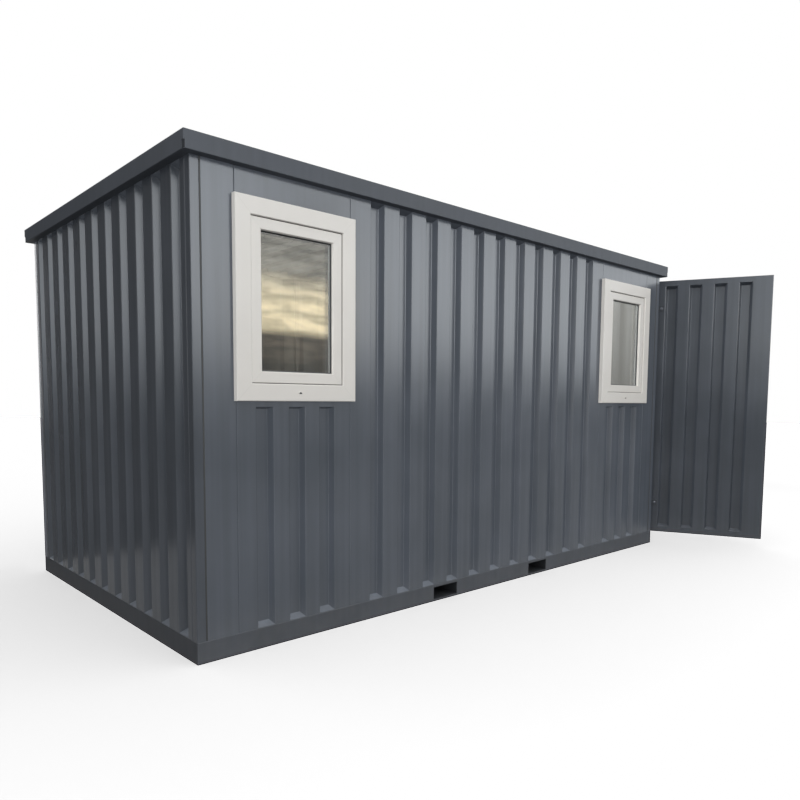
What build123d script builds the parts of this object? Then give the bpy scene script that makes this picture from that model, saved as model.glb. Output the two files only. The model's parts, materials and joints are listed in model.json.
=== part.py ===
from build123d import *
from math import atan2, floor, tan
import os

# Whole cabin: length runs along X to the door end, the window wall faces -Y, z = 0 is the ground
body_length = 3940
body_width = 2190
body_height = 2200

# Base rails and the two fork pockets through them
rail_height = 98
rail_flange = 60
rail_thickness = 3
rail_bend = 5
rail_corner = 6
pocket_width = 190
pocket_height = 68
pocket_floor = 12
pocket_spacing = 880
pocket_wall = 3

# Floor
bearer_width = 60
bearer_wall = 3
bearer_pitch = 800
board_thickness = 21
board_inset = 45

# Corner posts
post_size = 43
post_wall = 2.5
post_bend = 4
post_seam = 4

# Folded wall sheet with trapezoid grooves
sheet = 1.5
bend_radius = 5
edge_return = 25
groove_pitch = 193
groove_mouth = 90
groove_depth = 35
groove_web_run = 14
front_edge_flat = 110
end_edge_flat = 30
back_edge_flat = 40

# Window panels with short grooves under the window
window_from_end = 515
window_panel_width = 628
window_below_roof = 116
short_groove_pitch = 172.5
short_groove_edge_flat = 80
short_groove_below_window = 25

# Windows
window_hole_width = 590
window_hole_height = 815
window_fit = 1
frame_width = 652
frame_height = 877
frame_proud = 27
frame_inside = 43
sash_hole_width = 500
sash_hole_height = 721
sash_stop = 15
sash_stop_depth = 16
sash_recess = 8
sash_fit = 3
sash_bar = 51
glass_recess = 21
glass_thickness = 20
glass_cover = 9
glass_fit = 0.5
window_edge_round = 4

# Roof edge and roof sheet
roof_overhang = 43
fascia_height = 78
fascia_thickness = 2
fascia_bend = 3
fascia_corner = 4
fascia_top_flange = 40
soffit_flange = 103
fascia_notch_height = 35
end_fascia_notch = 16
long_fascia_notch = 7
roof_sheet_fit = 1
roof_edge_flat = 30

# Door end: the opening and its two leaves, which lie over the frame
jamb_width = 147
header_height = 62
header_flange = 25
header_thickness = 2
leaf_from_end = 160
leaf_over_rail = 24
leaf_below_roof = 12
leaf_depth = 38
leaf_gap = 6
leaf_meeting_gap = 11
leaf_groove_pitch = 178
leaf_groove_edge_flat = 110
leaf_hinge_flat = 24
leaf_band = 42
leaf_frame_bar = 30
leaf_frame_wall = 2
leaf_open_angle = 156

# Strap hinges
pin_stand_off = 15
pin_radius = 5
pin_fit = 0.3
barrel_radius = 9
barrel_gap = 0.5
strap_length = 155
strap_height = 40
strap_thickness = 5
knuckle_height = 28
arm_width = 19
arm_clear = 6
hinge_from_leaf_top = 219
hinge_from_leaf_bottom = 240

# Cuts run this far past the faces they break through
overrun = 1

half_length = body_length / 2
half_width = body_width / 2
wall_top = body_height - fascia_height
wall_height = wall_top - rail_height
jamb_end = post_size + jamb_width
leaf_bottom = rail_height - leaf_over_rail
leaf_height = wall_top - leaf_below_roof - leaf_bottom
leaf_width = half_width - leaf_from_end - leaf_meeting_gap / 2
leaf_face = half_length + leaf_gap + leaf_depth
pin_x = leaf_face + pin_stand_off
pin_y = leaf_from_end - half_width
window_middle_height = wall_top - window_below_roof - frame_height / 2
short_groove_top = window_middle_height - frame_height / 2 - short_groove_below_window
pin_axis = Axis((pin_x, pin_y, 0), (0, 0, 1))

x_way = Vector(1, 0, 0)
y_way = Vector(0, 1, 0)
up = Vector(0, 0, 1)

os.makedirs("parts", exist_ok=True)


def save(piece, name):
    """Label a finished piece and write it."""
    piece.label = name
    export_step(piece, f"parts/{name}.step")


def wall_plane(corner_x, corner_y, along, height):
    """Plan of one wall: its x runs along the wall, its y goes inwards."""
    return Plane(origin=(corner_x, corner_y, height), x_dir=along, z_dir=up)


def groove_centres(start, end, pitch, edge_flat):
    """Centres of the grooves that fill a sheet evenly and leave a flat at each edge."""
    room = end - start - 2 * edge_flat - groove_mouth
    count = floor(room / pitch) + 1
    first = (start + end - (count - 1) * pitch) / 2
    return [first + step * pitch for step in range(count)]


def groove_back(centre):
    """Corners of one groove on the inner face of the sheet."""
    shift = sheet * tan(atan2(groove_depth, groove_web_run) / 2)
    mouth = groove_mouth / 2 + shift
    bottom = mouth - groove_web_run
    return [
        (centre - mouth, sheet),
        (centre - bottom, groove_depth + sheet),
        (centre + bottom, groove_depth + sheet),
        (centre + mouth, sheet),
    ]


def groove_front(centre):
    """Corners of one groove on the outer face of the sheet."""
    mouth = groove_mouth / 2
    bottom = mouth - groove_web_run
    return [
        (centre - mouth, 0),
        (centre - bottom, groove_depth),
        (centre + bottom, groove_depth),
        (centre + mouth, 0),
    ]


def sheet_outline(start, end, centres, side_return):
    """Plan outline of a folded sheet with a return at both edges."""
    outer = [(start, side_return), (start, 0)]
    inner = [(start + sheet, side_return), (start + sheet, sheet)]
    for centre in centres:
        outer += groove_front(centre)
        inner += groove_back(centre)
    outer += [(end, 0), (end, side_return)]
    inner += [(end - sheet, sheet), (end - sheet, side_return)]
    return outer + inner[::-1]


def bends(corners, side_return):
    """All the corners of a sheet outline but the free ends of its returns."""
    return [corner for corner in corners if abs(corner.Y - side_return) > sheet / 2]


def ribbed_sheet(plane, start, end, centres, side_return, height):
    """A folded sheet, extruded from its plan."""
    with BuildPart() as panel:
        with BuildSketch(plane) as plan:
            with BuildLine():
                Polyline(*sheet_outline(start, end, centres, side_return), close=True)
            make_face()
            fillet(bends(plan.vertices(), side_return), bend_radius)
        extrude(amount=height)
    return panel.part


def groove_caps(plane, centres):
    """Plates that close the ends of short grooves, laid on the plane."""
    with BuildPart() as caps:
        for centre in centres:
            back = groove_back(centre)
            with BuildSketch(plane):
                with BuildLine():
                    Polyline((back[0][0], 0), *back, (back[-1][0], 0), close=True)
                make_face()
            extrude(amount=sheet)
    return caps.part


def folded_rail(name, base, ring, along, height, flanges, thickness, rounds, cuts):
    """One side of a ring of channels: web outside, mitred ends, rectangular cuts in the web."""
    inward = up.cross(along)
    across = abs(ring.dot(inward))
    length = abs(ring.dot(along))
    corner = up * base - along * (length / 2) - inward * (across / 2)
    top_flange, bottom_flange = flanges
    bend, corner_round = rounds
    with BuildPart() as rail:
        with BuildSketch(Plane(origin=corner, x_dir=inward, z_dir=along)) as section:
            with BuildLine():
                Polyline(
                    (0, 0),
                    (bottom_flange, 0),
                    (bottom_flange, thickness),
                    (thickness, thickness),
                    (thickness, height - thickness),
                    (top_flange, height - thickness),
                    (top_flange, height),
                    (0, height),
                    close=True,
                )
            make_face()
            fillet(section.vertices().group_by(Axis.X)[0], bend)
        extrude(amount=length)
        split(bisect_by=Plane(origin=corner, z_dir=along - inward), keep=Keep.TOP)
        split(bisect_by=Plane(origin=corner + along * length, z_dir=along + inward), keep=Keep.BOTTOM)
        with BuildSketch(Plane.XY.offset(base - overrun)):
            RectangleRounded(ring.X, ring.Y, corner_round)
        extrude(amount=height + 2 * overrun, mode=Mode.INTERSECT)
        for middle, cut_foot, cut_width, cut_height in cuts:
            with BuildSketch(Plane(origin=corner, x_dir=along, z_dir=inward * -1)):
                with Locations((middle, cut_foot)):
                    Rectangle(cut_width, cut_height, align=(Align.CENTER, Align.MIN))
            extrude(amount=thickness + overrun, both=True, mode=Mode.SUBTRACT)
    save(rail.part, name)


# Base rails: the front and back ones are cut for the fork tunnels
tunnel_width = pocket_width + 2 * pocket_wall
tunnel_height = pocket_height + 2 * pocket_wall
tunnel_floor = pocket_floor - pocket_wall
pocket_cuts = [
    (half_length - pocket_spacing / 2, tunnel_floor, tunnel_width, tunnel_height),
    (half_length + pocket_spacing / 2, tunnel_floor, tunnel_width, tunnel_height),
]
base_ring = Vector(body_length, body_width, 0)
rail_flanges = (rail_flange, rail_flange)
rail_rounds = (rail_bend, rail_corner)
for name, along, cuts in (
    ("base_rail_front", x_way, pocket_cuts),
    ("base_rail_back", x_way * -1, pocket_cuts),
    ("base_rail_left", y_way * -1, []),
    ("base_rail_right", y_way, []),
):
    folded_rail(name, 0, base_ring, along, rail_height, rail_flanges, rail_thickness, rail_rounds, cuts)

# Fork tunnels: square tubes from the front rail to the back rail
for name, side in (("fork_tunnel_left", -1), ("fork_tunnel_right", 1)):
    with BuildPart() as fork_tunnel:
        with BuildSketch(Plane.XZ.offset(-half_width)):
            with Locations((side * pocket_spacing / 2, tunnel_floor)):
                Rectangle(tunnel_width, tunnel_height, align=(Align.CENTER, Align.MIN))
            with Locations((side * pocket_spacing / 2, pocket_floor)):
                Rectangle(
                    pocket_width, pocket_height, align=(Align.CENTER, Align.MIN), mode=Mode.SUBTRACT
                )
        extrude(amount=body_width)
    save(fork_tunnel.part, name)

# Floor bearers: box tubes between the flanges of the long rails, as high as the rails
bearer_length = body_width - 2 * rail_flange
bearer_reach = half_length - rail_flange - bearer_width / 2
bearer_count = 2 * floor(bearer_reach / bearer_pitch) + 1
with BuildPart() as floor_bearers:
    with BuildSketch(Plane.XZ.offset(-bearer_length / 2)):
        with Locations((0, rail_height / 2)):
            with GridLocations(bearer_pitch, 0, bearer_count, 1):
                Rectangle(bearer_width, rail_height)
                Rectangle(
                    bearer_width - 2 * bearer_wall, rail_height - 2 * bearer_wall, mode=Mode.SUBTRACT
                )
    extrude(amount=bearer_length)
save(floor_bearers.part, "floor_bearers")

# Floor board, resting on the rails and bearers
with BuildPart() as floor_board:
    with BuildSketch(Plane.XY.offset(rail_height)):
        Rectangle(body_length - 2 * board_inset, body_width - 2 * board_inset)
    extrude(amount=board_thickness)
save(floor_board.part, "floor_board")

# Corner posts: square tubes with rounded edges
for name, side_x, side_y in (
    ("corner_post_front_left", -1, -1),
    ("corner_post_front_right", 1, -1),
    ("corner_post_back_left", -1, 1),
    ("corner_post_back_right", 1, 1),
):
    with BuildPart() as corner_post:
        with BuildSketch(Plane.XY.offset(rail_height)) as post_plan:
            with Locations((side_x * (half_length - post_size / 2), side_y * (half_width - post_size / 2))):
                Rectangle(post_size, post_size)
                fillet(post_plan.vertices(), post_bend)
                Rectangle(post_size - 2 * post_wall, post_size - 2 * post_wall, mode=Mode.SUBTRACT)
        extrude(amount=wall_height)
    save(corner_post.part, name)

# Front wall: flat fillers beside the posts and one grooved sheet between the window panels
front_plan = wall_plane(-half_length, -half_width, x_way, rail_height)
panel_start = window_from_end - window_panel_width / 2
panel_end = window_from_end + window_panel_width / 2
middle_end = body_length - panel_end
middle_grooves = groove_centres(panel_end, middle_end, groove_pitch, front_edge_flat)
filler_start = post_size + post_seam
for name, start, end, centres in (
    ("front_filler_left", filler_start, panel_start, []),
    ("front_wall_middle", panel_end, middle_end, middle_grooves),
    ("front_filler_right", body_length - panel_start, body_length - filler_start, []),
):
    save(ribbed_sheet(front_plan, start, end, centres, edge_return, wall_height), name)

# Window panels: grooved below, flat above, with the window's hole cut through
window_side = Plane(origin=(0, -half_width, window_middle_height), x_dir=x_way, z_dir=y_way * -1)
for name, middle in (
    ("window_panel_left", window_from_end),
    ("window_panel_right", body_length - window_from_end),
):
    start = middle - window_panel_width / 2
    end = middle + window_panel_width / 2
    centres = groove_centres(start, end, short_groove_pitch, short_groove_edge_flat)
    cap_plan = wall_plane(-half_length, -half_width, x_way, short_groove_top)
    with BuildPart() as window_panel:
        add(ribbed_sheet(front_plan, start, end, centres, edge_return, short_groove_top - rail_height))
        add(ribbed_sheet(cap_plan, start, end, [], edge_return, wall_top - short_groove_top))
        add(groove_caps(cap_plan, centres))
        with BuildSketch(window_side):
            with Locations((middle - half_length, 0)):
                Rectangle(window_hole_width, window_hole_height)
        extrude(amount=sheet + overrun, both=True, mode=Mode.SUBTRACT)
    save(window_panel.part, name)

# Windows: a frame that lies on the panel and goes through it, a fixed sash and a sealed pane
frame_face = frame_proud
sash_face = frame_proud - sash_recess
sash_back = sash_stop_depth - frame_inside
pane_face = sash_face - glass_recess
sash_width = sash_hole_width - 2 * sash_fit
sash_height = sash_hole_height - 2 * sash_fit
clear_width = sash_width - 2 * sash_bar
clear_height = sash_height - 2 * sash_bar
for side, way in (("left", -1), ("right", 1)):
    middle = way * (half_length - window_from_end)
    with BuildPart() as window_frame:
        with BuildSketch(window_side.offset(-frame_inside)):
            with Locations((middle, 0)):
                Rectangle(window_hole_width - 2 * window_fit, window_hole_height - 2 * window_fit)
        extrude(amount=frame_inside)
        with BuildSketch(window_side):
            with Locations((middle, 0)):
                Rectangle(frame_width, frame_height)
        extrude(amount=frame_proud)
        with BuildSketch(window_side.offset(sash_back)):
            with Locations((middle, 0)):
                Rectangle(sash_hole_width, sash_hole_height)
        extrude(amount=frame_proud - sash_back, mode=Mode.SUBTRACT)
        with BuildSketch(window_side.offset(-frame_inside)):
            with Locations((middle, 0)):
                Rectangle(sash_hole_width - 2 * sash_stop, sash_hole_height - 2 * sash_stop)
        extrude(amount=sash_stop_depth, mode=Mode.SUBTRACT)
        fillet(window_frame.faces().sort_by(Axis.Y)[0].edges(), window_edge_round)
    save(window_frame.part, f"window_frame_{side}")

    with BuildPart() as window_sash:
        with BuildSketch(window_side.offset(sash_back)):
            with Locations((middle, 0)):
                Rectangle(sash_width, sash_height)
        extrude(amount=sash_face - sash_back)
        with BuildSketch(window_side.offset(pane_face)):
            with Locations((middle, 0)):
                Rectangle(clear_width, clear_height)
        extrude(amount=glass_recess, mode=Mode.SUBTRACT)
        with BuildSketch(window_side.offset(sash_back)):
            with Locations((middle, 0)):
                Rectangle(clear_width + 2 * glass_cover, clear_height + 2 * glass_cover)
        extrude(amount=pane_face - sash_back, mode=Mode.SUBTRACT)
        fillet(window_sash.faces().sort_by(Axis.Y)[0].edges(), window_edge_round)
    save(window_sash.part, f"window_sash_{side}")

    with BuildPart() as window_glass:
        with BuildSketch(window_side.offset(pane_face - glass_thickness)):
            with Locations((middle, 0)):
                Rectangle(
                    clear_width + 2 * (glass_cover - glass_fit), clear_height + 2 * (glass_cover - glass_fit)
                )
        extrude(amount=glass_thickness)
    save(window_glass.part, f"window_glass_{side}")

# Left end wall and back wall: grooved sheets between the posts
left_plan = wall_plane(-half_length, half_width, y_way * -1, rail_height)
left_end = body_width - post_size
left_grooves = groove_centres(post_size, left_end, groove_pitch, end_edge_flat)
save(ribbed_sheet(left_plan, post_size, left_end, left_grooves, edge_return, wall_height), "left_end_wall")

back_plan = wall_plane(half_length, half_width, x_way * -1, rail_height)
for name, start, end in (
    ("back_wall_right", post_size, half_length),
    ("back_wall_left", half_length, body_length - post_size),
):
    back_grooves = groove_centres(start, end, groove_pitch, back_edge_flat)
    save(ribbed_sheet(back_plan, start, end, back_grooves, edge_return, wall_height), name)

# Door end: a flat jamb beside each post and a header across the opening
door_plan = wall_plane(half_length, -half_width, y_way, rail_height)
for name, start, end in (
    ("door_jamb_front", post_size, jamb_end),
    ("door_jamb_back", body_width - jamb_end, body_width - post_size),
):
    save(ribbed_sheet(door_plan, start, end, [], edge_return, wall_height), name)

with BuildPart() as door_header:
    with BuildSketch(Plane.XZ.offset(half_width - jamb_end)):
        with Locations((half_length, wall_top)):
            Rectangle(header_flange, header_height, align=(Align.MAX, Align.MAX))
        with Locations((half_length - header_thickness, wall_top - header_thickness)):
            Rectangle(
                header_flange,
                header_height - 2 * header_thickness,
                align=(Align.MAX, Align.MAX),
                mode=Mode.SUBTRACT,
            )
    extrude(amount=2 * jamb_end - body_width)
save(door_header.part, "door_header")

# Roof edge: a folded fascia on each side, notched in its lower part beside the corners
roof_length = body_length + 2 * roof_overhang
roof_width = body_width + 2 * roof_overhang
roof_half_length = roof_length / 2
roof_half_width = roof_width / 2


def corner_notches(length, notch):
    """Cuts in the lower part of a fascia's web, beside both corners."""
    return [
        (notch / 2, 0, notch, fascia_notch_height),
        (length - notch / 2, 0, notch, fascia_notch_height),
    ]


roof_ring = Vector(roof_length, roof_width, 0)
fascia_flanges = (fascia_top_flange, soffit_flange)
fascia_rounds = (fascia_bend, fascia_corner)
for name, along, cuts in (
    ("roof_fascia_front", x_way, corner_notches(roof_length, long_fascia_notch)),
    ("roof_fascia_back", x_way * -1, corner_notches(roof_length, long_fascia_notch)),
    ("roof_fascia_left", y_way * -1, corner_notches(roof_width, end_fascia_notch)),
    ("roof_fascia_right", y_way, corner_notches(roof_width, end_fascia_notch)),
):
    folded_rail(
        name, wall_top, roof_ring, along, fascia_height, fascia_flanges, fascia_thickness, fascia_rounds, cuts
    )

# Roof sheet: grooves run from front to back under the top flange of the fascia
roof_inset = fascia_thickness + roof_sheet_fit
roof_plan = Plane(
    origin=(-roof_half_length, roof_inset - roof_half_width, body_height - fascia_thickness),
    x_dir=x_way,
    z_dir=y_way,
)
roof_end = roof_length - roof_inset
roof_grooves = groove_centres(roof_inset, roof_end, groove_pitch, roof_edge_flat)
roof_depth = roof_width - 2 * roof_inset
save(ribbed_sheet(roof_plan, roof_inset, roof_end, roof_grooves, edge_return, roof_depth), "roof_sheet")

# Door leaf, drawn closed: a tray-shaped skin with closed grooves, set back from the hinge edge
leaf_start = leaf_from_end
leaf_end = leaf_from_end + leaf_width
leaf_return = leaf_depth - leaf_frame_wall
leaf_groove_start = leaf_start + leaf_hinge_flat
leaf_grooves = groove_centres(leaf_groove_start, leaf_end, leaf_groove_pitch, leaf_groove_edge_flat)
low_plan = wall_plane(leaf_face, -half_width, y_way, leaf_bottom)
mid_plan = low_plan.offset(leaf_band)
high_plan = low_plan.offset(leaf_height - leaf_band)
with BuildPart() as leaf_skin:
    add(ribbed_sheet(low_plan, leaf_start, leaf_end, [], leaf_return, leaf_band))
    add(ribbed_sheet(mid_plan, leaf_start, leaf_end, leaf_grooves, leaf_return, leaf_height - 2 * leaf_band))
    add(ribbed_sheet(high_plan, leaf_start, leaf_end, [], leaf_return, leaf_band))
    add(groove_caps(mid_plan.offset(-sheet), leaf_grooves))
    add(groove_caps(high_plan, leaf_grooves))
    for level in (0, leaf_height - sheet):
        with BuildSketch(low_plan.offset(level)):
            with Locations((leaf_start + leaf_width / 2, leaf_return / 2)):
                Rectangle(leaf_width - 2 * bend_radius, leaf_return)
        extrude(amount=sheet)

# Leaf frame: a channel ring inside the tray
leaf_back = Plane(
    origin=(leaf_face - leaf_depth, pin_y + leaf_width / 2, leaf_bottom + leaf_height / 2),
    x_dir=y_way,
    z_dir=x_way,
)
ring_width = leaf_width - 2 * (sheet + bend_radius)
ring_height = leaf_height - 2 * sheet
ring_depth = leaf_depth - sheet
with BuildPart() as leaf_frame:
    with BuildSketch(leaf_back):
        Rectangle(ring_width, ring_height)
        Rectangle(ring_width - 2 * leaf_frame_bar, ring_height - 2 * leaf_frame_bar, mode=Mode.SUBTRACT)
    extrude(amount=ring_depth)
    with BuildSketch(leaf_back.offset(leaf_frame_wall)):
        Rectangle(ring_width - 2 * leaf_frame_wall, ring_height - 2 * leaf_frame_wall)
    extrude(amount=ring_depth - 2 * leaf_frame_wall, mode=Mode.SUBTRACT)


def leaf_strap(height):
    """Strap on the leaf's outer face with a barrel round the pin."""
    with BuildPart() as strap:
        with BuildSketch(Plane.XY.offset(height - strap_height / 2)):
            with Locations((leaf_face, pin_y)):
                Rectangle(strap_thickness, strap_length, align=(Align.MIN, Align.MIN))
                Rectangle(pin_stand_off, barrel_radius, align=(Align.MIN, Align.MIN))
            with Locations((pin_x, pin_y)):
                Circle(barrel_radius)
                Circle(pin_radius + pin_fit, mode=Mode.SUBTRACT)
        extrude(amount=strap_height)
    return strap.part


def jamb_hinge(height):
    """Arm on the jamb that carries the pin under the strap's barrel."""
    knuckle_top = height - strap_height / 2 - barrel_gap
    arm_end = half_width - leaf_from_end + arm_clear
    with BuildPart() as hinge:
        with BuildSketch(Plane.XY.offset(knuckle_top - knuckle_height)):
            with Locations((half_length, -arm_end)):
                Rectangle(pin_x - half_length, arm_width, align=(Align.MIN, Align.MAX))
            with Locations((pin_x, pin_y)):
                Circle(barrel_radius)
                Rectangle(2 * barrel_radius, arm_clear + arm_width, align=(Align.CENTER, Align.MAX))
        extrude(amount=knuckle_height)
        with BuildSketch(Plane.XY.offset(knuckle_top)):
            with Locations((pin_x, pin_y)):
                Circle(pin_radius)
        extrude(amount=strap_height + 2 * barrel_gap)
    return hinge.part


hinge_levels = (
    ("upper", leaf_bottom + leaf_height - hinge_from_leaf_top),
    ("lower", leaf_bottom + hinge_from_leaf_bottom),
)

# Front leaf, swung open about its pins, with its hinges
save(leaf_skin.part.rotate(pin_axis, -leaf_open_angle), "front_leaf_skin")
save(leaf_frame.part.rotate(pin_axis, -leaf_open_angle), "front_leaf_frame")
for level, height in hinge_levels:
    save(leaf_strap(height).rotate(pin_axis, -leaf_open_angle), f"front_leaf_strap_{level}")
    save(jamb_hinge(height), f"front_hinge_{level}")

# Rear leaf, closed, with strap, arm and pin of each hinge as one piece
save(mirror(leaf_skin.part, about=Plane.XZ), "rear_leaf_skin")
save(mirror(leaf_frame.part, about=Plane.XZ), "rear_leaf_frame")
for level, height in hinge_levels:
    with BuildPart() as rear_hinge:
        add(leaf_strap(height))
        add(jamb_hinge(height))
        with BuildSketch(Plane.XY.offset(height - strap_height / 2 - barrel_gap)):
            with Locations((pin_x, pin_y)):
                Circle(barrel_radius)
        extrude(amount=strap_height + barrel_gap)
    save(mirror(rear_hinge.part, about=Plane.XZ), f"rear_hinge_{level}")
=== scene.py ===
import json
from math import cos, floor, pi, radians, sin

import bmesh
import bpy
from mathutils import Matrix, Vector


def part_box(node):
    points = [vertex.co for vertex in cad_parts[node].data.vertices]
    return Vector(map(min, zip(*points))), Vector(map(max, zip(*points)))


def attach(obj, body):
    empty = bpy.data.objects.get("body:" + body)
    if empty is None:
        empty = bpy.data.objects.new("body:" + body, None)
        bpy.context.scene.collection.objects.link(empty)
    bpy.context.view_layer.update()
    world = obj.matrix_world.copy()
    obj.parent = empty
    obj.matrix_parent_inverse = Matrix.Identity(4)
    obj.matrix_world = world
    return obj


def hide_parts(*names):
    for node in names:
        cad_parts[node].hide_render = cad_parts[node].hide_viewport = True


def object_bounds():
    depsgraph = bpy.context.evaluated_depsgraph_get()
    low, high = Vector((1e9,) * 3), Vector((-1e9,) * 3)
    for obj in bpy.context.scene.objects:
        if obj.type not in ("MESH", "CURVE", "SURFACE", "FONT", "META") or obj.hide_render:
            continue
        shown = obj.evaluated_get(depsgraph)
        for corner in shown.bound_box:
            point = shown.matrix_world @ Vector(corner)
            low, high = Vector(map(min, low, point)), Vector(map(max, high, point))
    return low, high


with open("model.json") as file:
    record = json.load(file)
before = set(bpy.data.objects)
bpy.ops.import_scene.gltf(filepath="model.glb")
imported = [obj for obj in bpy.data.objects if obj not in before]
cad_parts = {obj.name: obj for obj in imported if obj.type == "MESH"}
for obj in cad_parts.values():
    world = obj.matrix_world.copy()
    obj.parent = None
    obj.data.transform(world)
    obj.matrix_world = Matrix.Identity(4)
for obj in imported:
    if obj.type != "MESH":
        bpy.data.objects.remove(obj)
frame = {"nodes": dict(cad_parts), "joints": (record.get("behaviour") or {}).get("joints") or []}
cad_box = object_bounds()
nodes = frame["nodes"]
scene = bpy.context.scene


# Base ring: four folded steel channels welded into a rectangle, with two tunnels through it for the
# forks of a lifting truck and box bearers between. All of it is dipped in a dull grey enamel, and
# as it stands on the ground, dust dries on its lower edge.
base_pieces = [
    "base_rail_front",
    "base_rail_back",
    "base_rail_left",
    "base_rail_right",
    "fork_tunnel_left",
    "fork_tunnel_right",
    "floor_bearers",
]
trim_shades = ("#373b41", "#3c4047")
dried_dust = "#958f86"
dust_reach = 0.30
dust_cover = 0.1


def linear(colour):
    """An sRGB hex value as a linear colour with its alpha."""
    shares = [int(colour[place : place + 2], 16) / 255 for place in (1, 3, 5)]
    return [s / 12.92 if s <= 0.04045 else ((s + 0.055) / 1.055) ** 2.4 for s in shares] + [1]


def add_node(tree, kind, inputs=(), **settings):
    """One node with its settings. Its inputs are values, or sockets to link from."""
    made = tree.nodes.new(kind)
    for name, value in settings.items():
        setattr(made, name, value)
    for name, value in dict(inputs).items():
        if isinstance(value, bpy.types.NodeSocket):
            tree.links.new(value, made.inputs[name])
        else:
            made.inputs[name].default_value = value
    return made


def new_material(name, **constants):
    """A material, its tree, its shader with the constants set, and its Object coordinates."""
    material = bpy.data.materials.new(name)
    material.use_nodes = True
    tree = material.node_tree
    shader = tree.nodes["Principled BSDF"]
    for socket, value in constants.items():
        shader.inputs[socket.replace("_", " ")].default_value = value
    place = add_node(tree, "ShaderNodeTexCoord").outputs["Object"]
    return material, tree, shader, place


def grey_enamel(name, shades, roughness, wave_height, index):
    """Stoved polyester enamel on steel sheet: a smooth film with a soft shine and a fine orange peel.
    The thin sheet under it is never quite flat, so its reflections waver, and rain leaves faint runs."""
    material, tree, shader, place = new_material(name, IOR=index)
    noise_low, noise_high = 0.3, 0.7  # a noise seldom leaves this range
    tone_size = 0.35
    tone_spread = 0.25
    run_width = 0.035
    run_length = 1.4
    patch_size = 0.06
    gloss_spread = 0.03
    peel_size = 0.006  # about 2 mm on the real film, drawn coarser so that it shows
    peel_height = 0.00002
    wave_size = 0.42

    tone = add_node(tree, "ShaderNodeTexNoise", {"Vector": place, "Scale": 1 / tone_size, "Detail": 3})
    run_grid = add_node(
        tree,
        "ShaderNodeMapping",
        {"Vector": place, "Scale": (1 / run_width, 1 / run_width, 1 / run_length)},
    )
    runs = add_node(tree, "ShaderNodeTexNoise", {"Vector": run_grid.outputs[0], "Scale": 1, "Detail": 2})
    blend = add_node(tree, "ShaderNodeMath", {0: tone.outputs[0], 1: runs.outputs[0]}, operation="ADD")
    shade = add_node(
        tree,
        "ShaderNodeMapRange",
        {"Value": blend.outputs[0], "From Min": 1 - tone_spread, "From Max": 1 + tone_spread},
    )
    film = add_node(
        tree,
        "ShaderNodeMix",
        {0: shade.outputs[0], 6: linear(shades[0]), 7: linear(shades[1])},
        data_type="RGBA",
    )

    height = add_node(tree, "ShaderNodeSeparateXYZ", {0: place}).outputs["Z"]
    low = add_node(
        tree,
        "ShaderNodeMapRange",
        {"Value": height, "From Min": 0, "From Max": dust_reach, "To Min": dust_cover, "To Max": 0},
        interpolation_type="SMOOTHSTEP",
    )
    patches = add_node(
        tree, "ShaderNodeTexNoise", {"Vector": place, "Scale": 1 / patch_size, "Detail": 5}
    )
    dust = add_node(
        tree, "ShaderNodeMath", {0: low.outputs[0], 1: patches.outputs[0]}, operation="MULTIPLY"
    )
    colour = add_node(
        tree,
        "ShaderNodeMix",
        {0: dust.outputs[0], 6: film.outputs[2], 7: linear(dried_dust)},
        data_type="RGBA",
    )
    tree.links.new(colour.outputs[2], shader.inputs["Base Color"])

    gloss = add_node(
        tree,
        "ShaderNodeMapRange",
        {
            "Value": tone.outputs[0],
            "From Min": noise_low,
            "From Max": noise_high,
            "To Min": roughness - gloss_spread,
            "To Max": roughness + gloss_spread,
        },
    )
    dull = add_node(tree, "ShaderNodeMath", {0: gloss.outputs[0], 1: dust.outputs[0]}, operation="ADD")
    tree.links.new(dull.outputs[0], shader.inputs["Roughness"])

    wave = add_node(tree, "ShaderNodeTexNoise", {"Vector": place, "Scale": 1 / wave_size, "Detail": 1})
    peel = add_node(tree, "ShaderNodeTexNoise", {"Vector": place, "Scale": 1 / peel_size, "Detail": 1})
    buckle = add_node(tree, "ShaderNodeBump", {"Height": wave.outputs[0], "Distance": wave_height})
    skin = add_node(
        tree,
        "ShaderNodeBump",
        {"Height": peel.outputs[0], "Distance": peel_height, "Normal": buckle.outputs[0]},
    )
    tree.links.new(skin.outputs[0], shader.inputs["Normal"])
    return material


def coat(material, names):
    """Gives CAD pieces their finish."""
    for name in names:
        nodes[name].data.materials.clear()
        nodes[name].data.materials.append(material)


dull_enamel = grey_enamel(
    "dull_enamel_on_folded_steel", trim_shades, roughness=0.55, wave_height=0.0004, index=1.36
)
coat(dull_enamel, base_pieces)


# Floor board: a sheet of brown film-faced plywood screwed down on the rails and bearers. Feet have
# scuffed its film, and the long grain of the veneer shows through.
film_dark = "#4a3527"
film_light = "#6b5039"


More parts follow.
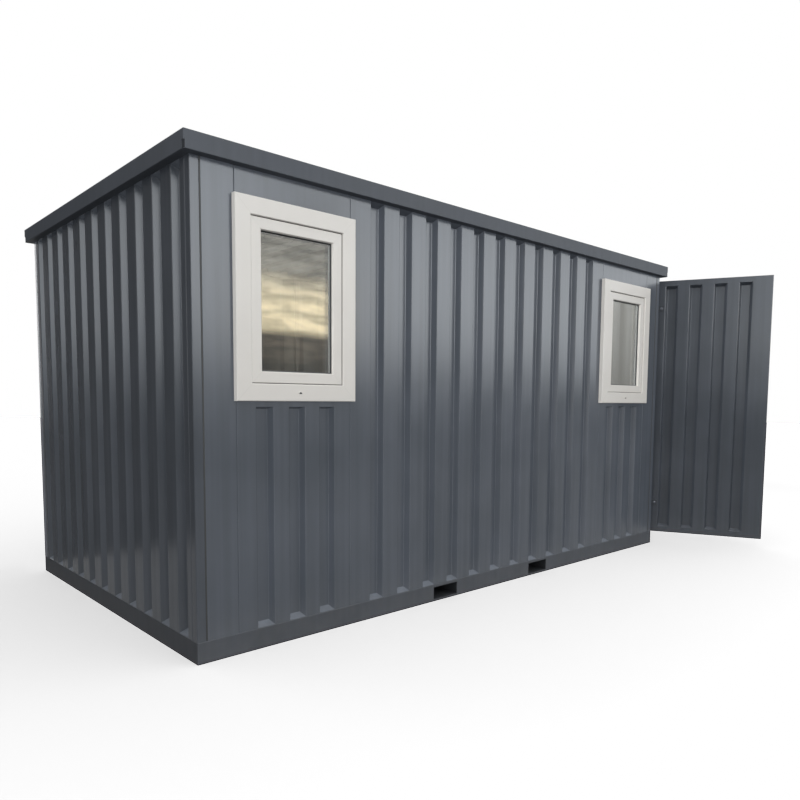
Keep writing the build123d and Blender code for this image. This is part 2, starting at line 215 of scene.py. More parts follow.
def faced_plywood(name):
    """Phenolic film over birch veneer: dark brown and half shiny, with grain along the sheet and
    pale scuffs."""
    material, tree, shader, place = new_material(name, IOR=1.5)
    grain_width = 0.006
    grain_length = 0.35
    grain_height = 0.0001
    scuff_size = 0.05
    scuff_start, scuff_full = 0.5, 0.8
    scuff_cover = 0.2
    film_roughness = 0.4

    grain_grid = add_node(
        tree,
        "ShaderNodeMapping",
        {"Vector": place, "Scale": (1 / grain_length, 1 / grain_width, 1 / grain_width)},
    )
    grain = add_node(
        tree, "ShaderNodeTexNoise", {"Vector": grain_grid.outputs[0], "Scale": 1, "Detail": 4}
    )
    film = add_node(
        tree,
        "ShaderNodeMix",
        {0: grain.outputs[0], 6: linear(film_dark), 7: linear(film_light)},
        data_type="RGBA",
    )
    scuffs = add_node(tree, "ShaderNodeTexNoise", {"Vector": place, "Scale": 1 / scuff_size, "Detail": 8})
    worn = add_node(
        tree,
        "ShaderNodeMapRange",
        {
            "Value": scuffs.outputs[0],
            "From Min": scuff_start,
            "From Max": scuff_full,
            "To Max": scuff_cover,
        },
    )
    colour = add_node(
        tree,
        "ShaderNodeMix",
        {0: worn.outputs[0], 6: film.outputs[2], 7: linear(dried_dust)},
        data_type="RGBA",
    )
    tree.links.new(colour.outputs[2], shader.inputs["Base Color"])
    dull = add_node(tree, "ShaderNodeMath", {0: worn.outputs[0], 1: film_roughness}, operation="ADD")
    tree.links.new(dull.outputs[0], shader.inputs["Roughness"])
    ridges = add_node(tree, "ShaderNodeBump", {"Height": grain.outputs[0], "Distance": grain_height})
    tree.links.new(ridges.outputs[0], shader.inputs["Normal"])
    return material


coat(faced_plywood("film_faced_plywood"), ["floor_board"])


# Walls: thin steel sheet folded into upright grooves, held between square corner posts. The sheets
# are coated in the same grey as the base, but stoved to a better shine.
wall_sheets = [
    "front_filler_left",
    "front_filler_right",
    "window_panel_left",
    "window_panel_right",
    "front_wall_middle",
    "left_end_wall",
    "back_wall_left",
    "back_wall_right",
]
corner_posts = [
    "corner_post_front_left",
    "corner_post_front_right",
    "corner_post_back_left",
    "corner_post_back_right",
]
sheet_shades = ("#494e55", "#50555d")
sheet_enamel = grey_enamel(
    "stoved_enamel_on_wall_sheet", sheet_shades, roughness=0.21, wave_height=0.0012, index=1.5
)
coat(sheet_enamel, wall_sheets + corner_posts)


# Groove ends: the grooves are pressed into the sheet and slope out to its face at both ends. Each
# slope is a wedge in the groove, in the same enamel. The grooves of the leaves end in the same way.
groove_mouth = 0.090
groove_web_run = 0.014
groove_depth = 0.035
groove_pitch = 0.193
short_groove_pitch = 0.1725
leaf_groove_pitch = 0.178
short_groove_below_frame = 0.025
leaf_band = 0.042
leaf_hinge_flat = 0.024
front_edge_flat = 0.110
short_groove_edge_flat = 0.080
end_edge_flat = 0.030
back_edge_flat = 0.040
leaf_edge_flat = 0.110
end_rise = 0.019
short_top_rise = 0.009
end_fit = 0.0003  # how far a wedge stays clear of the sheet
x_way = Vector((1, 0, 0))
y_way = Vector((0, 1, 0))
up = Vector((0, 0, 1))


def groove_middles(start, end, pitch, edge_flat):
    """Middles of the grooves that fill a sheet evenly and leave a flat at each edge."""
    count = floor((end - start - 2 * edge_flat - groove_mouth) / pitch) + 1
    first = (start + end - (count - 1) * pitch) / 2
    return [first + step * pitch for step in range(count)]


def groove_ends(bm, face, along, outward, middles, foot, top, top_rise=end_rise):
    """Wedges at the foot and the top of each groove of a sheet. The face is a point on its outer side."""
    mouth = groove_mouth / 2 - end_fit
    bottom = mouth - groove_web_run
    depth = groove_depth - end_fit
    for middle in middles:
        for level, rise in ((foot + end_fit, end_rise), (top - end_fit, -top_rise)):
            corners = []
            for half, inward, height in ((mouth, end_fit, 0), (bottom, depth, rise), (bottom, depth, 0)):
                for side in (-1, 1):
                    place = face + along * (middle + side * half) - outward * inward
                    corners.append(bm.verts.new(place + up * (level + height)))
            left_front, right_front, left_slope, right_slope, left_back, right_back = corners
            bm.faces.new((left_front, right_front, right_slope, left_slope))
            bm.faces.new((left_slope, right_slope, right_back, left_back))
            bm.faces.new((left_back, right_back, right_front, left_front))
            bm.faces.new((left_front, left_slope, left_back))
            bm.faces.new((right_front, right_back, right_slope))


def new_piece(bm, name, *materials):
    """An object at the origin, made from the mesh, with its materials."""
    mesh = bpy.data.meshes.new(name)
    bm.to_mesh(mesh)
    bm.free()
    for material in materials:
        mesh.materials.append(material)
    piece = bpy.data.objects.new(name, mesh)
    scene.collection.objects.link(piece)
    return piece


swing = frame["joints"][0]
pin = Vector(swing["pos_m"])
opening = Matrix.Rotation(-radians(swing["range_deg"][0]), 4, Vector(swing["axis"]))
leaf_swing = Matrix.Translation(pin) @ opening @ Matrix.Translation(-pin)
short_groove_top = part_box("window_frame_left")[0].z - short_groove_below_frame


def finished_ends(bm, name, body):
    """The wedges as one piece, with their faces outwards."""
    bmesh.ops.recalc_face_normals(bm, faces=bm.faces[:])
    piece = new_piece(bm, name, sheet_enamel)
    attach(piece, body)
    return piece


bm = bmesh.new()
low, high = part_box("front_wall_middle")
front_face = y_way * low.y
middles = groove_middles(low.x, high.x, groove_pitch, front_edge_flat)
groove_ends(bm, front_face, x_way, -y_way, middles, low.z, high.z)
for side in ("left", "right"):
    low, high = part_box(f"window_panel_{side}")
    middles = groove_middles(low.x, high.x, short_groove_pitch, short_groove_edge_flat)
    groove_ends(bm, front_face, x_way, -y_way, middles, low.z, short_groove_top, short_top_rise)
front_ends = finished_ends(bm, "front_groove_ends", "cabin")

bm = bmesh.new()
low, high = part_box("left_end_wall")
middles = groove_middles(low.y, high.y, groove_pitch, end_edge_flat)
groove_ends(bm, x_way * low.x, y_way, -x_way, middles, low.z, high.z)
for side in ("left", "right"):
    low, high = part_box(f"back_wall_{side}")
    middles = groove_middles(low.x, high.x, groove_pitch, back_edge_flat)
    groove_ends(bm, y_way * high.y, x_way, y_way, middles, low.z, high.z)
low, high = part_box("rear_leaf_skin")
leaf_face = x_way * high.x
leaf_foot = low.z + leaf_band
leaf_top = high.z - leaf_band
middles = groove_middles(low.y, high.y - leaf_hinge_flat, leaf_groove_pitch, leaf_edge_flat)
groove_ends(bm, leaf_face, y_way, x_way, middles, leaf_foot, leaf_top)
finished_ends(bm, "end_and_back_groove_ends", "cabin")

bm = bmesh.new()
groove_ends(bm, leaf_face, y_way, x_way, [-middle for middle in middles], leaf_foot, leaf_top)
bm.transform(leaf_swing)
leaf_ends = finished_ends(bm, "front_leaf_groove_ends", "front_leaf")


# Windows: a white PVC frame laid on the wall sheet, with its sash shut inside it. Both are welded
# from mitred lengths, so a fine joint runs across each corner.
pvc_white = "#c9c6c1"
pvc_joint = "#b6b3ae"
frame_boxes = {side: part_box(f"window_frame_{side}") for side in ("left", "right")}


def white_pvc(name):
    """Extruded PVC: off-white and even, with a low sheen, faint draw lines and the welds of its corners.
    The two windows mirror each other, so the welds are worked out on the right one."""
    material, tree, shader, place = new_material(name, IOR=1.53)
    low, high = frame_boxes["right"]
    middle = (low + high) / 2
    longer_by = (high.z - low.z - high.x + low.x) / 2
    weld_width = 0.0006
    line_size = 0.003
    line_height = 0.00002
    grime_size = 0.2
    grime_start, grime_full = 0.4, 0.8
    grime_cover = 0.25
    clean_roughness, soiled_roughness = 0.3, 0.45

    parts = add_node(tree, "ShaderNodeSeparateXYZ", {0: place})
    offset = add_node(tree, "ShaderNodeMath", {0: parts.outputs["X"]}, operation="ABSOLUTE")
    across = add_node(tree, "ShaderNodeMath", {0: offset.outputs[0], 1: middle.x}, operation="SUBTRACT")
    upward = add_node(tree, "ShaderNodeMath", {0: parts.outputs["Z"], 1: middle.z}, operation="SUBTRACT")
    across = add_node(tree, "ShaderNodeMath", {0: across.outputs[0]}, operation="ABSOLUTE")
    upward = add_node(tree, "ShaderNodeMath", {0: upward.outputs[0]}, operation="ABSOLUTE")
    mitre = add_node(
        tree, "ShaderNodeMath", {0: upward.outputs[0], 1: across.outputs[0]}, operation="SUBTRACT"
    )
    weld = add_node(
        tree,
        "ShaderNodeMath",
        {0: mitre.outputs[0], 1: longer_by, 2: weld_width},
        operation="COMPARE",
    )
    grime = add_node(tree, "ShaderNodeTexNoise", {"Vector": place, "Scale": 1 / grime_size, "Detail": 6})
    soiled = add_node(
        tree,
        "ShaderNodeMapRange",
        {
            "Value": grime.outputs[0],
            "From Min": grime_start,
            "From Max": grime_full,
            "To Max": grime_cover,
        },
    )
    marked = add_node(
        tree, "ShaderNodeMath", {0: weld.outputs[0], 1: soiled.outputs[0]}, operation="MAXIMUM"
    )
    colour = add_node(
        tree,
        "ShaderNodeMix",
        {0: marked.outputs[0], 6: linear(pvc_white), 7: linear(pvc_joint)},
        data_type="RGBA",
    )
    tree.links.new(colour.outputs[2], shader.inputs["Base Color"])
    gloss = add_node(
        tree,
        "ShaderNodeMapRange",
        {"Value": grime.outputs[0], "To Min": clean_roughness, "To Max": soiled_roughness},
    )
    tree.links.new(gloss.outputs[0], shader.inputs["Roughness"])
    lines = add_node(tree, "ShaderNodeTexNoise", {"Vector": place, "Scale": 1 / line_size, "Detail": 1})
    drawn = add_node(tree, "ShaderNodeBump", {"Height": lines.outputs[0], "Distance": line_height})
    tree.links.new(drawn.outputs[0], shader.inputs["Normal"])
    return material


pvc = white_pvc("extruded_white_pvc")
coat(pvc, [f"window_{piece}_{side}" for piece in ("frame", "sash") for side in ("left", "right")])


# Glazing: two panes of float glass held apart by an aluminium spacer bar, sealed at the edge. The
# sealed unit sits in the sash, so its spacer just shows as a grey line inside the rubber.
pane_thickness = 0.004
pane_arris = 0.0004
spacer_inset = 0.004
spacer_height = 0.0095
glass_tint = "#f4f4f0"
spacer_shades = ("#8f9294", "#a9acae")
glass_boxes = {side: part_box(f"window_glass_{side}") for side in ("left", "right")}


def float_glass(name):
    """Float glass: clear, mirror smooth and all but colourless, with a thin film of dust that dulls it
    in patches."""
    material, tree, shader, place = new_material(name, IOR=1.52, Transmission_Weight=1.0)
    film_size = 0.15
    film_start, film_full = 0.45, 0.8
    film_roughness = 0.04
    shader.inputs["Base Color"].default_value = linear(glass_tint)
    film = add_node(tree, "ShaderNodeTexNoise", {"Vector": place, "Scale": 1 / film_size, "Detail": 6})
    haze = add_node(
        tree,
        "ShaderNodeMapRange",
        {
            "Value": film.outputs[0],
            "From Min": film_start,
            "From Max": film_full,
            "To Max": film_roughness,
        },
    )
    tree.links.new(haze.outputs[0], shader.inputs["Roughness"])
    return material


def rolled_aluminium(name):
    """Mill-finish aluminium: pale grey metal with fine rolling marks along the bar."""
    material, tree, shader, place = new_material(name, Metallic=1.0)
    mark_size = 0.002
    bright_roughness, dull_roughness = 0.4, 0.6
    marks = add_node(tree, "ShaderNodeTexNoise", {"Vector": place, "Scale": 1 / mark_size, "Detail": 2})
    colour = add_node(
        tree,
        "ShaderNodeMix",
        {0: marks.outputs[0], 6: linear(spacer_shades[0]), 7: linear(spacer_shades[1])},
        data_type="RGBA",
    )
    tree.links.new(colour.outputs[2], shader.inputs["Base Color"])
    dull = add_node(
        tree,
        "ShaderNodeMapRange",
        {"Value": marks.outputs[0], "To Min": bright_roughness, "To Max": dull_roughness},
    )
    tree.links.new(dull.outputs[0], shader.inputs["Roughness"])
    return material


def mitred_ring(bm, middle, half_width, half_height, section, material_index):
    """A closed section carried round a rectangle, mitred at its corners.
    The section's points are how far inside the rectangle they lie, and their Y."""
    start = len(bm.faces)
    loops = []
    for side_x, side_z in ((-1, -1), (1, -1), (1, 1), (-1, 1)):
        loop = []
        for inset, depth in section:
            x = middle.x + side_x * (half_width - inset)
            z = middle.z + side_z * (half_height - inset)
            loop.append(bm.verts.new((x, depth, z)))
        loops.append(loop)
    for loop, following in zip(loops, loops[1:] + loops[:1]):
        for place in range(len(section)):
            turn = (place + 1) % len(section)
            face = bm.faces.new((loop[place], loop[turn], following[turn], following[place]))
            face.material_index = material_index
    bm.faces.ensure_lookup_table()
    bmesh.ops.recalc_face_normals(bm, faces=bm.faces[start:])


glass = float_glass("float_glass")
aluminium = rolled_aluminium("rolled_aluminium")
for side, (low, high) in glass_boxes.items():
    middle = (low + high) / 2
    bm = bmesh.new()
    for outer_y in (low.y, high.y - pane_thickness):
        slab_middle = Vector((middle.x, outer_y + pane_thickness / 2, middle.z))
        slab_size = Vector((high.x - low.x, pane_thickness, high.z - low.z))
        bmesh.ops.create_cube(bm, size=1, matrix=Matrix.LocRotScale(slab_middle, None, slab_size))
    bmesh.ops.bevel(bm, geom=bm.edges[:], offset=pane_arris, segments=1, affect="EDGES")
    spacer_front = low.y + pane_thickness
    spacer_back = high.y - pane_thickness
    spacer_section = [
        (spacer_inset, spacer_front),
        (spacer_inset, spacer_back),
        (spacer_inset + spacer_height, spacer_back),
        (spacer_inset + spacer_height, spacer_front),
    ]
    mitred_ring(bm, middle, (high.x - low.x) / 2, (high.z - low.z) / 2, spacer_section, 1)
    glazing = new_piece(bm, f"sealed_glazing_{side}", glass, aluminium)
    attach(glazing, "cabin")
    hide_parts(f"window_glass_{side}")


# Rubbers: a black glazing gasket pressed between sash and pane, and a seal in the joint between
# sash and frame. Both are extruded, cut to length and pushed into their grooves.
gasket_width = 0.006
gasket_height = 0.005
gasket_flat_share = 0.35
gasket_edge_share = 0.75
gasket_edge_height_share = 0.6
seal_depth = 0.0025
seal_height = 0.006
seal_crown_share = 0.3
joint_width = 0.0028
glass_cover = 0.0085
rubber_shades = ("#131415", "#232425")


def black_rubber(name):
    """Extruded EPDM rubber: black, dull, a little greyed by dust."""
    material, tree, shader, place = new_material(name, IOR=1.5)
    bloom_size = 0.02
    clean_roughness, dusty_roughness = 0.55, 0.75
    bloom = add_node(tree, "ShaderNodeTexNoise", {"Vector": place, "Scale": 1 / bloom_size, "Detail": 4})
    colour = add_node(
        tree,
        "ShaderNodeMix",
        {0: bloom.outputs[0], 6: linear(rubber_shades[0]), 7: linear(rubber_shades[1])},
        data_type="RGBA",
    )
    tree.links.new(colour.outputs[2], shader.inputs["Base Color"])
    dull = add_node(
        tree,
        "ShaderNodeMapRange",
        {"Value": bloom.outputs[0], "To Min": clean_roughness, "To Max": dusty_roughness},
    )
    tree.links.new(dull.outputs[0], shader.inputs["Roughness"])
    return material


rubber = black_rubber("extruded_black_rubber")
for side, (low, high) in glass_boxes.items():
    middle = (low + high) / 2
    bm = bmesh.new()
    gasket_section = [
        (0, low.y),
        (0, low.y - gasket_height),
        (gasket_width * gasket_flat_share, low.y - gasket_height),
        (gasket_width * gasket_edge_share, low.y - gasket_height * gasket_edge_height_share),
        (gasket_width, low.y),
    ]
    half_width = (high.x - low.x) / 2 - glass_cover
    half_height = (high.z - low.z) / 2 - glass_cover
    mitred_ring(bm, middle, half_width, half_height, gasket_section, 0)
    sash_low, sash_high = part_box(f"window_sash_{side}")
    seal_front = sash_low.y + seal_depth
    seal_section = [
        (-joint_width, seal_front),
        (-joint_width, seal_front + seal_height),
        (0, seal_front + seal_height),
        (0, seal_front),
        (-joint_width / 2, seal_front - seal_depth * seal_crown_share),
    ]
    half_width = (sash_high.x - sash_low.x) / 2
    half_height = (sash_high.z - sash_low.z) / 2
    mitred_ring(bm, middle, half_width, half_height, seal_section, 0)
    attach(new_piece(bm, f"window_rubbers_{side}", rubber), "cabin")


# Joint strips: a flat black rubber strip laid in the joint between each front corner post and the
# plain sheet beside it. It is painted shade: a dark upright line where the joint lies in shadow.
strip_width = 0.0075
strip_proud = 0.0005
strip_arris = 0.0003
bm = bmesh.new()
for side in ("left", "right"):
    post_low, post_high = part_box(f"corner_post_front_{side}")
    sheet_low, sheet_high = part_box(f"front_filler_{side}")
    inner_edges = (post_high.x, sheet_low.x) if side == "left" else (post_low.x, sheet_high.x)
    strip_front = post_low.y - strip_proud
    strip_back = post_low.y + strip_width
    strip_middle = Vector(
        (sum(inner_edges) / 2, (strip_front + strip_back) / 2, (post_low.z + post_high.z) / 2)
    )
    strip_size = Vector((strip_width, strip_back - strip_front, post_high.z - post_low.z))
    bmesh.ops.create_cube(bm, size=1, matrix=Matrix.LocRotScale(strip_middle, None, strip_size))
bmesh.ops.bevel(bm, geom=bm.edges[:], offset=strip_arris, segments=1, affect="EDGES")
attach(new_piece(bm, "corner_joint_shade_strips", rubber), "cabin")


# Drain caps: a small white hood over the drain hole in the lower bar of each window frame. It is
# moulded and pushed in. Its open mouth is painted shade: a black rubber half-round under the arch.
cap_width = 0.026
cap_height = 0.013
cap_proud = 0.0025
shaded_mouth_share = 0.62
shaded_mouth_proud_share = 1.1
cap_above_edge = 0.034
arch_steps = 10


def arch(bm, middle, width, height, proud, material_index):
    """A half-round plate standing out from the frame's face."""
    rim = []
    for step in range(arch_steps + 1):
        angle = pi * step / arch_steps
        rim.append(Vector((middle.x + width / 2 * cos(angle), 0, middle.z + height * sin(angle))))
    back = [bm.verts.new(place + y_way * middle.y) for place in rim]
    front = [bm.verts.new(place + y_way * (middle.y - proud)) for place in rim]
    made = [bm.faces.new(front), bm.faces.new(back[::-1])]
    for place in range(len(rim)):
        turn = (place + 1) % len(rim)
        made.append(bm.faces.new((front[place], back[place], back[turn], front[turn])))
    for face in made:
        face.material_index = material_index
    bmesh.ops.recalc_face_normals(bm, faces=made)


for side, (low, high) in frame_boxes.items():
    foot = Vector(((low.x + high.x) / 2, low.y, low.z + cap_above_edge))
    bm = bmesh.new()
    arch(bm, foot, cap_width, cap_height, cap_proud, 0)
    # The black plate under the arch is painted shade for the dark hole under the hood.
    shaded_mouth_proud = cap_proud * shaded_mouth_proud_share
    arch(bm, foot, cap_width * shaded_mouth_share, cap_height * shaded_mouth_share, shaded_mouth_proud, 1)
    cap = new_piece(bm, f"drain_cap_{side}", pvc, rubber)
    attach(cap, "cabin")


# Roof: a grooved steel sheet lying inside a folded edge trim on all four sides. Both have the dull
# enamel of the base, which weather has taken the shine off.
roof_trims = ["roof_fascia_front", "roof_fascia_back", "roof_fascia_left", "roof_fascia_right"]
coat(dull_enamel, roof_trims + ["roof_sheet"])


# Door end: flat jambs and a header round the opening, and two leaves made as shallow grooved trays
# on a channel frame. They hang on strap hinges, dipped in the same enamel.
coat(dull_enamel, ["door_jamb_front", "door_jamb_back", "door_header"])
coat(sheet_enamel, ["front_leaf_skin", "rear_leaf_skin"])
coat(dull_enamel, ["front_leaf_frame", "rear_leaf_frame"])
hinge_pieces = [
    f"{piece}_{level}"
    for piece in ("front_leaf_strap", "front_hinge", "rear_hinge")
    for level in ("upper", "lower")
]
coat(dull_enamel, hinge_pieces)


# Fasteners: domed bolts hold the hinge straps to the leaves, a rivet shows near the free edge of the
# front leaf, and washered screws hold the roof sheet down in its grooves. All are enamelled over.
bolt_offsets = (0.055, 0.095, 0.137)
strap_below_pin = 0.010
leaf_below_pin = 0.015
rivet_offset = 0.914
rivet_height = 1.647
screw_from_edge = 0.058
washer_sides = 24
head_seed = 7


def head_tree(name):
    """Sets a head on a washer at every point, each turned by chance."""
    tree = bpy.data.node_groups.new(name, "GeometryNodeTree")
    tree.interface.new_socket("Places", in_out="INPUT", socket_type="NodeSocketGeometry")
    for label in ("Head radius", "Head height", "Top radius", "Washer radius", "Washer height"):
        tree.interface.new_socket(label, in_out="INPUT", socket_type="NodeSocketFloat")
    tree.interface.new_socket("Sides", in_out="INPUT", socket_type="NodeSocketInt")
    tree.interface.new_socket("Finish", in_out="INPUT", socket_type="NodeSocketMaterial")
    tree.interface.new_socket("Heads", in_out="OUTPUT", socket_type="NodeSocketGeometry")
    given = add_node(tree, "NodeGroupInput").outputs
    washer = add_node(
        tree,
        "GeometryNodeMeshCylinder",
        {"Vertices": washer_sides, "Radius": given["Washer radius"], "Depth": given["Washer height"]},
    )
    head = add_node(
        tree,
        "GeometryNodeMeshCone",
        {
            "Vertices": given["Sides"],
            "Radius Bottom": given["Head radius"],
            "Radius Top": given["Top radius"],
            "Depth": given["Head height"],
        },
    )
    fastener = add_node(tree, "GeometryNodeJoinGeometry")
    tree.links.new(washer.outputs["Mesh"], fastener.inputs[0])
    tree.links.new(head.outputs["Mesh"], fastener.inputs[0])
    turns = add_node(tree, "FunctionNodeRandomValue", {"Seed": head_seed}, data_type="FLOAT_VECTOR")
    turns.inputs["Max"].default_value = (0, 0, 2 * pi)
    placed = add_node(
        tree,
        "GeometryNodeInstanceOnPoints",
        {"Points": given["Places"], "Instance": fastener.outputs[0], "Rotation": turns.outputs["Value"]},
    )
    real = add_node(tree, "GeometryNodeRealizeInstances", {"Geometry": placed.outputs[0]})
    finished = add_node(
        tree, "GeometryNodeSetMaterial", {"Geometry": real.outputs[0], "Material": given["Finish"]}
    )
    add_node(tree, "NodeGroupOutput", {"Heads": finished.outputs[0]})
    return tree


heads = head_tree("fastener_heads")


def fasteners(name, body, places, turn, **sizes):
    """Heads on the given places, all facing up, then turned to where they belong."""
    bm = bmesh.new()
    for place in places:
        bm.verts.new(place)
    holder = new_piece(bm, f"{name}_places")
    modifier = holder.modifiers.new("heads", "NODES")
    modifier.node_group = heads
    given = {**sizes, "Finish": sheet_enamel}
    for socket in heads.interface.items_tree:
        if socket.in_out == "INPUT" and socket.name in given:
            modifier[socket.identifier] = given[socket.name]
    depsgraph = bpy.context.evaluated_depsgraph_get()
    mesh = bpy.data.meshes.new_from_object(holder.evaluated_get(depsgraph))
    bpy.data.objects.remove(holder)
    mesh.transform(turn)
    piece = bpy.data.objects.new(name, mesh)
    scene.collection.objects.link(piece)
    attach(piece, body)


dome = {
    "Head radius": 0.0095,
    "Head height": 0.0045,
    "Top radius": 0.0055,
    "Washer radius": 0.0115,
    "Washer height": 0.002,
    "Sides": 20,
}
screw = {
    "Head radius": 0.0055,
    "Head height": 0.005,
    "Top radius": 0.005,
    "Washer radius": 0.009,
    "Washer height": 0.002,
    "Sides": 6,
}
rivet = {
    "Head radius": 0.005,
    "Head height": 0.002,
    "Top radius": 0.003,
    "Washer radius": 0.0055,
    "Washer height": 0.001,
    "Sides": 16,
}
facing_out = Matrix.Rotation(radians(90), 4, "Y")  # turns Z out of the leaf, and -X up
strap_heights = []
for level in ("upper", "lower"):
    low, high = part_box(f"front_leaf_strap_{level}")
    strap_heights.append((low.z + high.z) / 2)
strap_face = pin.x - strap_below_pin
front_bolts = [
    (-height, pin.y + offset, strap_face) for height in strap_heights for offset in bolt_offsets
]
rear_bolts = [
    (-height, -pin.y - offset, strap_face) for height in strap_heights for offset in bolt_offsets
]
fasteners("front_strap_bolts", "front_leaf", front_bolts, leaf_swing @ facing_out, **dome)
fasteners("rear_strap_bolts", "cabin", rear_bolts, facing_out, **dome)
leaf_rivet = (-rivet_height, pin.y + rivet_offset, pin.x - leaf_below_pin)
fasteners("front_leaf_rivet", "front_leaf", [leaf_rivet], leaf_swing @ facing_out, **rivet)
roof_low, roof_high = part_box("roof_sheet")
roof_middles = groove_middles(roof_low.x, roof_high.x, groove_pitch, end_edge_flat)
roof_screws = [
    (middle, side * (roof_high.y - screw_from_edge), roof_high.z - groove_depth)
    for middle in roof_middles
    for side in (-1, 1)
]
fasteners("roof_screws", "cabin", roof_screws, Matrix.Identity(4), **screw)


# Stage: a plain pale floor that takes the shadow, with white all round it. Sky panels and dark boards
# stand where only the shine of the enamel and the glass shows them. The light comes from a softbox
# overhead and from wide fill lamps, which are flagged off some pieces.
floor_reach = 40
floor_gap = 0.0005
floor_shades = ("#8c8c8c", "#929292")
ambient_level = 0.42
sky_level = 6.2


def plain_board(name, corners, material):
    """A flat four-cornered board of the stage."""
    bm = bmesh.new()
    bm.faces.new([bm.verts.new(corner) for corner in corners])
    board = new_piece(bm, name, material)
    return board


def pale_floor_paint(name):
    """Matt pale paint on a studio floor, very slightly uneven."""
    material, tree, shader, place = new_material(name, Roughness=0.9)
    patch_size = 2
    uneven = add_node(tree, "ShaderNodeTexNoise", {"Vector": place, "Scale": 1 / patch_size})
    colour = add_node(
        tree,
        "ShaderNodeMix",
        {0: uneven.outputs[0], 6: linear(floor_shades[0]), 7: linear(floor_shades[1])},
        data_type="RGBA",
    )
    tree.links.new(colour.outputs[2], shader.inputs["Base Color"])
    return material


floor_level = cad_box[0].z - floor_gap
studio_floor = plain_board(
    "studio_floor",
    [
        (-floor_reach, -floor_reach, floor_level),
        (floor_reach, -floor_reach, floor_level),
        (floor_reach, floor_reach, floor_level),
        (-floor_reach, floor_reach, floor_level),
    ],
    pale_floor_paint("pale_floor_paint"),
)
studio_floor.is_shadow_catcher = True

world = bpy.data.worlds.new("white_studio")
world.use_nodes = True
scene.world = world
sky = world.node_tree
sky.nodes.clear()
rays = add_node(sky, "ShaderNodeLightPath")
seen = rays.outputs["Is Camera Ray"]
for ray in ("Is Glossy Ray", "Is Transmission Ray"):
    either = add_node(sky, "ShaderNodeMath", {0: seen, 1: rays.outputs[ray]}, operation="MAXIMUM")
    seen = either.outputs[0]
fill = add_node(sky, "ShaderNodeBackground", {"Color": (1, 1, 1, 1), "Strength": ambient_level})
white = add_node(sky, "ShaderNodeBackground", {"Color": (1, 1, 1, 1), "Strength": 1})
around = add_node(sky, "ShaderNodeMixShader", {0: seen, 1: fill.outputs[0], 2: white.outputs[0]})
add_node(sky, "ShaderNodeOutputWorld", {"Surface": around.outputs[0]})


def glow_material(name, level, upward, across, cloud=0):
    """A panel lit from behind. Its brightness goes by height and by place along it, in shares of the
    level, and long clouds take some of it away."""
    cloud_size = 0.625
    cloud_stretch = 5
    cloud_start, cloud_full = 0.4, 0.65
    material = bpy.data.materials.new(name)
    material.use_nodes = True
    tree = material.node_tree
    tree.nodes.clear()
    place = add_node(tree, "ShaderNodeTexCoord").outputs["Object"]
    parts = add_node(tree, "ShaderNodeSeparateXYZ", {0: place})
    shades = []
    for axis, stops in (("Z", upward), ("X", across)):
        low, high = stops[0][0], stops[-1][0]
        share = add_node(
            tree, "ShaderNodeMapRange", {"Value": parts.outputs[axis], "From Min": low, "From Max": high}
        )
        ramp = add_node(tree, "ShaderNodeValToRGB", {0: share.outputs[0]})
        elements = ramp.color_ramp.elements
        while len(elements) < len(stops):
            elements.new(0.5)
        for element, (at, shade) in zip(elements, stops):
            element.position = (at - low) / (high - low)
            element.color = (*shade, 1)
        shades.append(ramp.outputs[0])
    light = add_node(
        tree, "ShaderNodeMix", {0: 1, 6: shades[0], 7: shades[1]}, data_type="RGBA", blend_type="MULTIPLY"
    )
    cloud_grid = add_node(tree, "ShaderNodeMapping", {"Vector": place, "Scale": (1, 1, cloud_stretch)})
    clouds = add_node(
        tree,
        "ShaderNodeTexNoise",
        {"Vector": cloud_grid.outputs[0], "Scale": 1 / cloud_size, "Detail": 5},
    )
    shade = add_node(
        tree,
        "ShaderNodeMapRange",
        {
            "Value": clouds.outputs[0],
            "From Min": cloud_start,
            "From Max": cloud_full,
            "To Min": level,
            "To Max": level * (1 - cloud),
        },
    )
    lit = add_node(tree, "ShaderNodeEmission", {"Color": light.outputs[2], "Strength": shade.outputs[0]})
    add_node(tree, "ShaderNodeOutputMaterial", {"Surface": lit.outputs[0]})
    return material


def mirror_board(name, corners, material):
    """A board that only the shine of the surfaces and the glass show."""
    board = plain_board(name, corners, material)
    board.visible_camera = False
    board.visible_diffuse = False
    board.visible_shadow = False


def upright(first, last, bottom, top):
    """Corners of an upright board over a line on the floor."""
    return [(*first, bottom), (*last, bottom), (*last, top), (*first, top)]


def greys(*stops):
    """Stops of a ramp in one grey each."""
    return [(at, (shade, shade, shade)) for at, shade in stops]


even = greys((-20, 1), (30, 1))
sky_tint = (0.93, 0.97, 1)
sky_heights = ((0, 0.05), (1.1, 0.07), (1.5, 0.25), (2.3, 0.9), (3.6, 1), (5, 0.8), (9, 0.35))
bright_sky = glow_material(
    "bright_sky",
    sky_level,
    [(at, tuple(shade * part for part in sky_tint)) for at, shade in sky_heights],
    greys(
        (-30, 0.05),
        (-13, 0.05),
        (-8, 0.65),
        (-2, 0.85),
        (1, 0.9),
        (5, 0.86),
        (8.4, 0.7),
        (11.5, 0.55),
        (24, 0.55),
    ),
)
mirror_board("sky_board", upright((-30, -8), (24, -8), 0, 9), bright_sky)
window_sky = glow_material(
    "window_sky",
    sky_level,
    [
        (1.2, (0.03, 0.025, 0.02)),
        (1.75, (0.07, 0.06, 0.045)),
        (2.15, (0.13, 0.11, 0.085)),
        (2.27, (0.95, 0.82, 0.57)),
        (2.75, (1, 0.87, 0.62)),
        (3.2, (0.34, 0.33, 0.3)),
        (4.4, (0.29, 0.29, 0.29)),
    ],
    even,
    cloud=0.45,
)
mirror_board("window_sky_board", upright((2.3, -7.9), (4.1, -7.9), 1.2, 4.4), window_sky)
dusk = glow_material("dusk", level=0.1, upward=greys((0, 0.6), (6, 1)), across=even)
mirror_board("dark_board_beside", upright((-3.9, 1.3), (-2.03, 1.3), 0, 4), dusk)
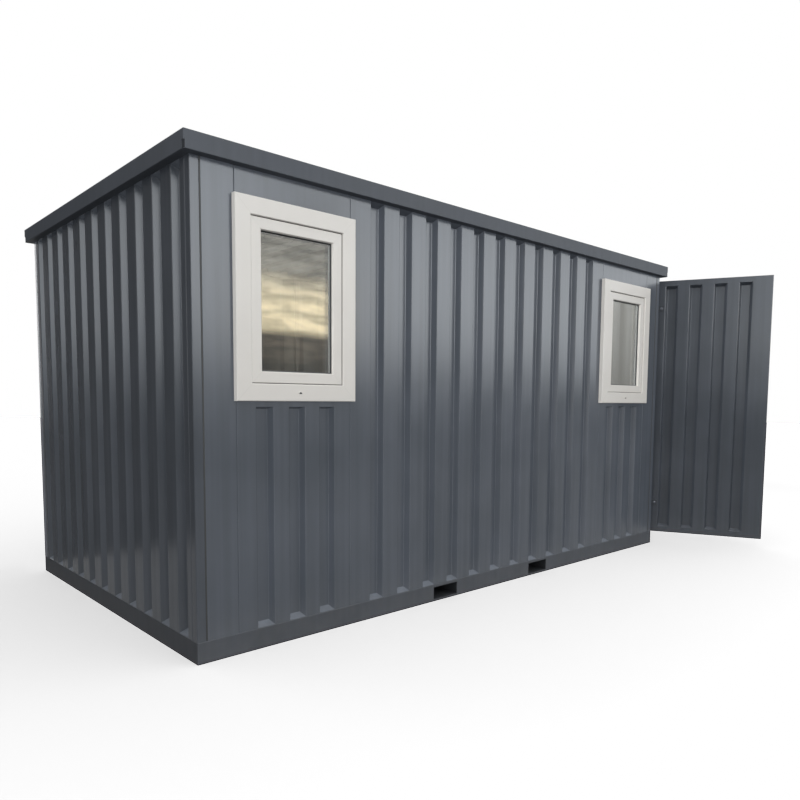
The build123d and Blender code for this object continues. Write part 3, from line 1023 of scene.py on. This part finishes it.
far_side = glow_material("far_side", level=0.45, upward=greys((0, 0.4), (3, 1)), across=even)
mirror_board("board_beyond_door", upright((7, -3), (7, 9), 0, 4), far_side)

overhead = bpy.data.lights.new("overhead_softbox", "AREA")
overhead.shape = "RECTANGLE"
overhead.size = 10
overhead.size_y = 8
overhead.energy = 180
overhead_box = bpy.data.objects.new("overhead_softbox", overhead)
overhead_box.location = (1, -2, 7)
overhead_box.visible_camera = False
scene.collection.objects.link(overhead_box)
fill_spread = radians(40)


def fill_lamp(name, direction, energy):
    """A wide soft fill from far away, which throws no shadow of its own."""
    lamp = bpy.data.lights.new(name, "SUN")
    lamp.energy = energy
    lamp.angle = fill_spread
    lamp.use_shadow = False
    holder = bpy.data.objects.new(name, lamp)
    holder.rotation_euler = Vector(direction).to_track_quat("Z", "Y").to_euler()
    scene.collection.objects.link(holder)
    return holder


def link_lamp(lamp, pieces, state):
    """Keeps a lamp off these pieces, as a flag in front of it does, or on them alone."""
    linked_pieces = bpy.data.collections.new(f"{lamp.name}_pieces")
    lamp.light_linking.receiver_collection = linked_pieces
    for piece in pieces:
        linked_pieces.objects.link(piece)
    for linked in linked_pieces.collection_objects:
        linked.light_linking.link_state = state


leaf_pieces = [node for name, node in nodes.items() if name.startswith("front_leaf")] + [leaf_ends]
tunnel_pieces = [nodes["fork_tunnel_left"], nodes["fork_tunnel_right"]]
left_pieces = [nodes[name] for name in ("left_end_wall", "base_rail_left", "corner_post_front_left")]
off_side_fill = tunnel_pieces + left_pieces + leaf_pieces
off_back_fill = tunnel_pieces + left_pieces + [nodes["roof_fascia_left"]]
high_fill = fill_lamp("high_fill", direction=(0, -0.42, 0.9), energy=1.6)
link_lamp(high_fill, tunnel_pieces, "EXCLUDE")
side_fill = fill_lamp("side_fill", direction=(-0.85, -0.5, 0), energy=1.3)
link_lamp(side_fill, off_side_fill, "EXCLUDE")
back_fill = fill_lamp("back_fill", direction=(-0.45, 0.85, 0.25), energy=1.1)
link_lamp(back_fill, off_back_fill, "EXCLUDE")
ledge_fill = fill_lamp("ledge_fill", direction=(-0.1, -0.3, 0.95), energy=1.9)
link_lamp(ledge_fill, [front_ends], "INCLUDE")


# Camera: low at the near left corner. Its place, turn and lens were worked out from the straight edges
# of the cabin, and the shift is only what the framing needs.
camera_place = Vector((-3.2613, -3.7680, 1.1359))
camera_right = Vector((0.73729, -0.67554, 0.00703))
camera_down = Vector((-0.05054, -0.06553, -0.99657))
camera_ahead = Vector((0.67368, 0.73441, -0.08246))
focal_pixels = 684.609
image_pixels = 800
camera = bpy.data.cameras.new("camera")
camera.sensor_width = 36
camera.lens = camera.sensor_width * focal_pixels / image_pixels
camera.shift_x = 0.00088
camera.shift_y = 0.07156
camera_object = bpy.data.objects.new("camera", camera)
turn = Matrix((camera_right, -camera_down, -camera_ahead)).transposed().to_4x4()
camera_object.matrix_world = Matrix.Translation(camera_place) @ turn
scene.collection.objects.link(camera_object)
scene.camera = camera_object
scene.view_settings.view_transform = "Standard"
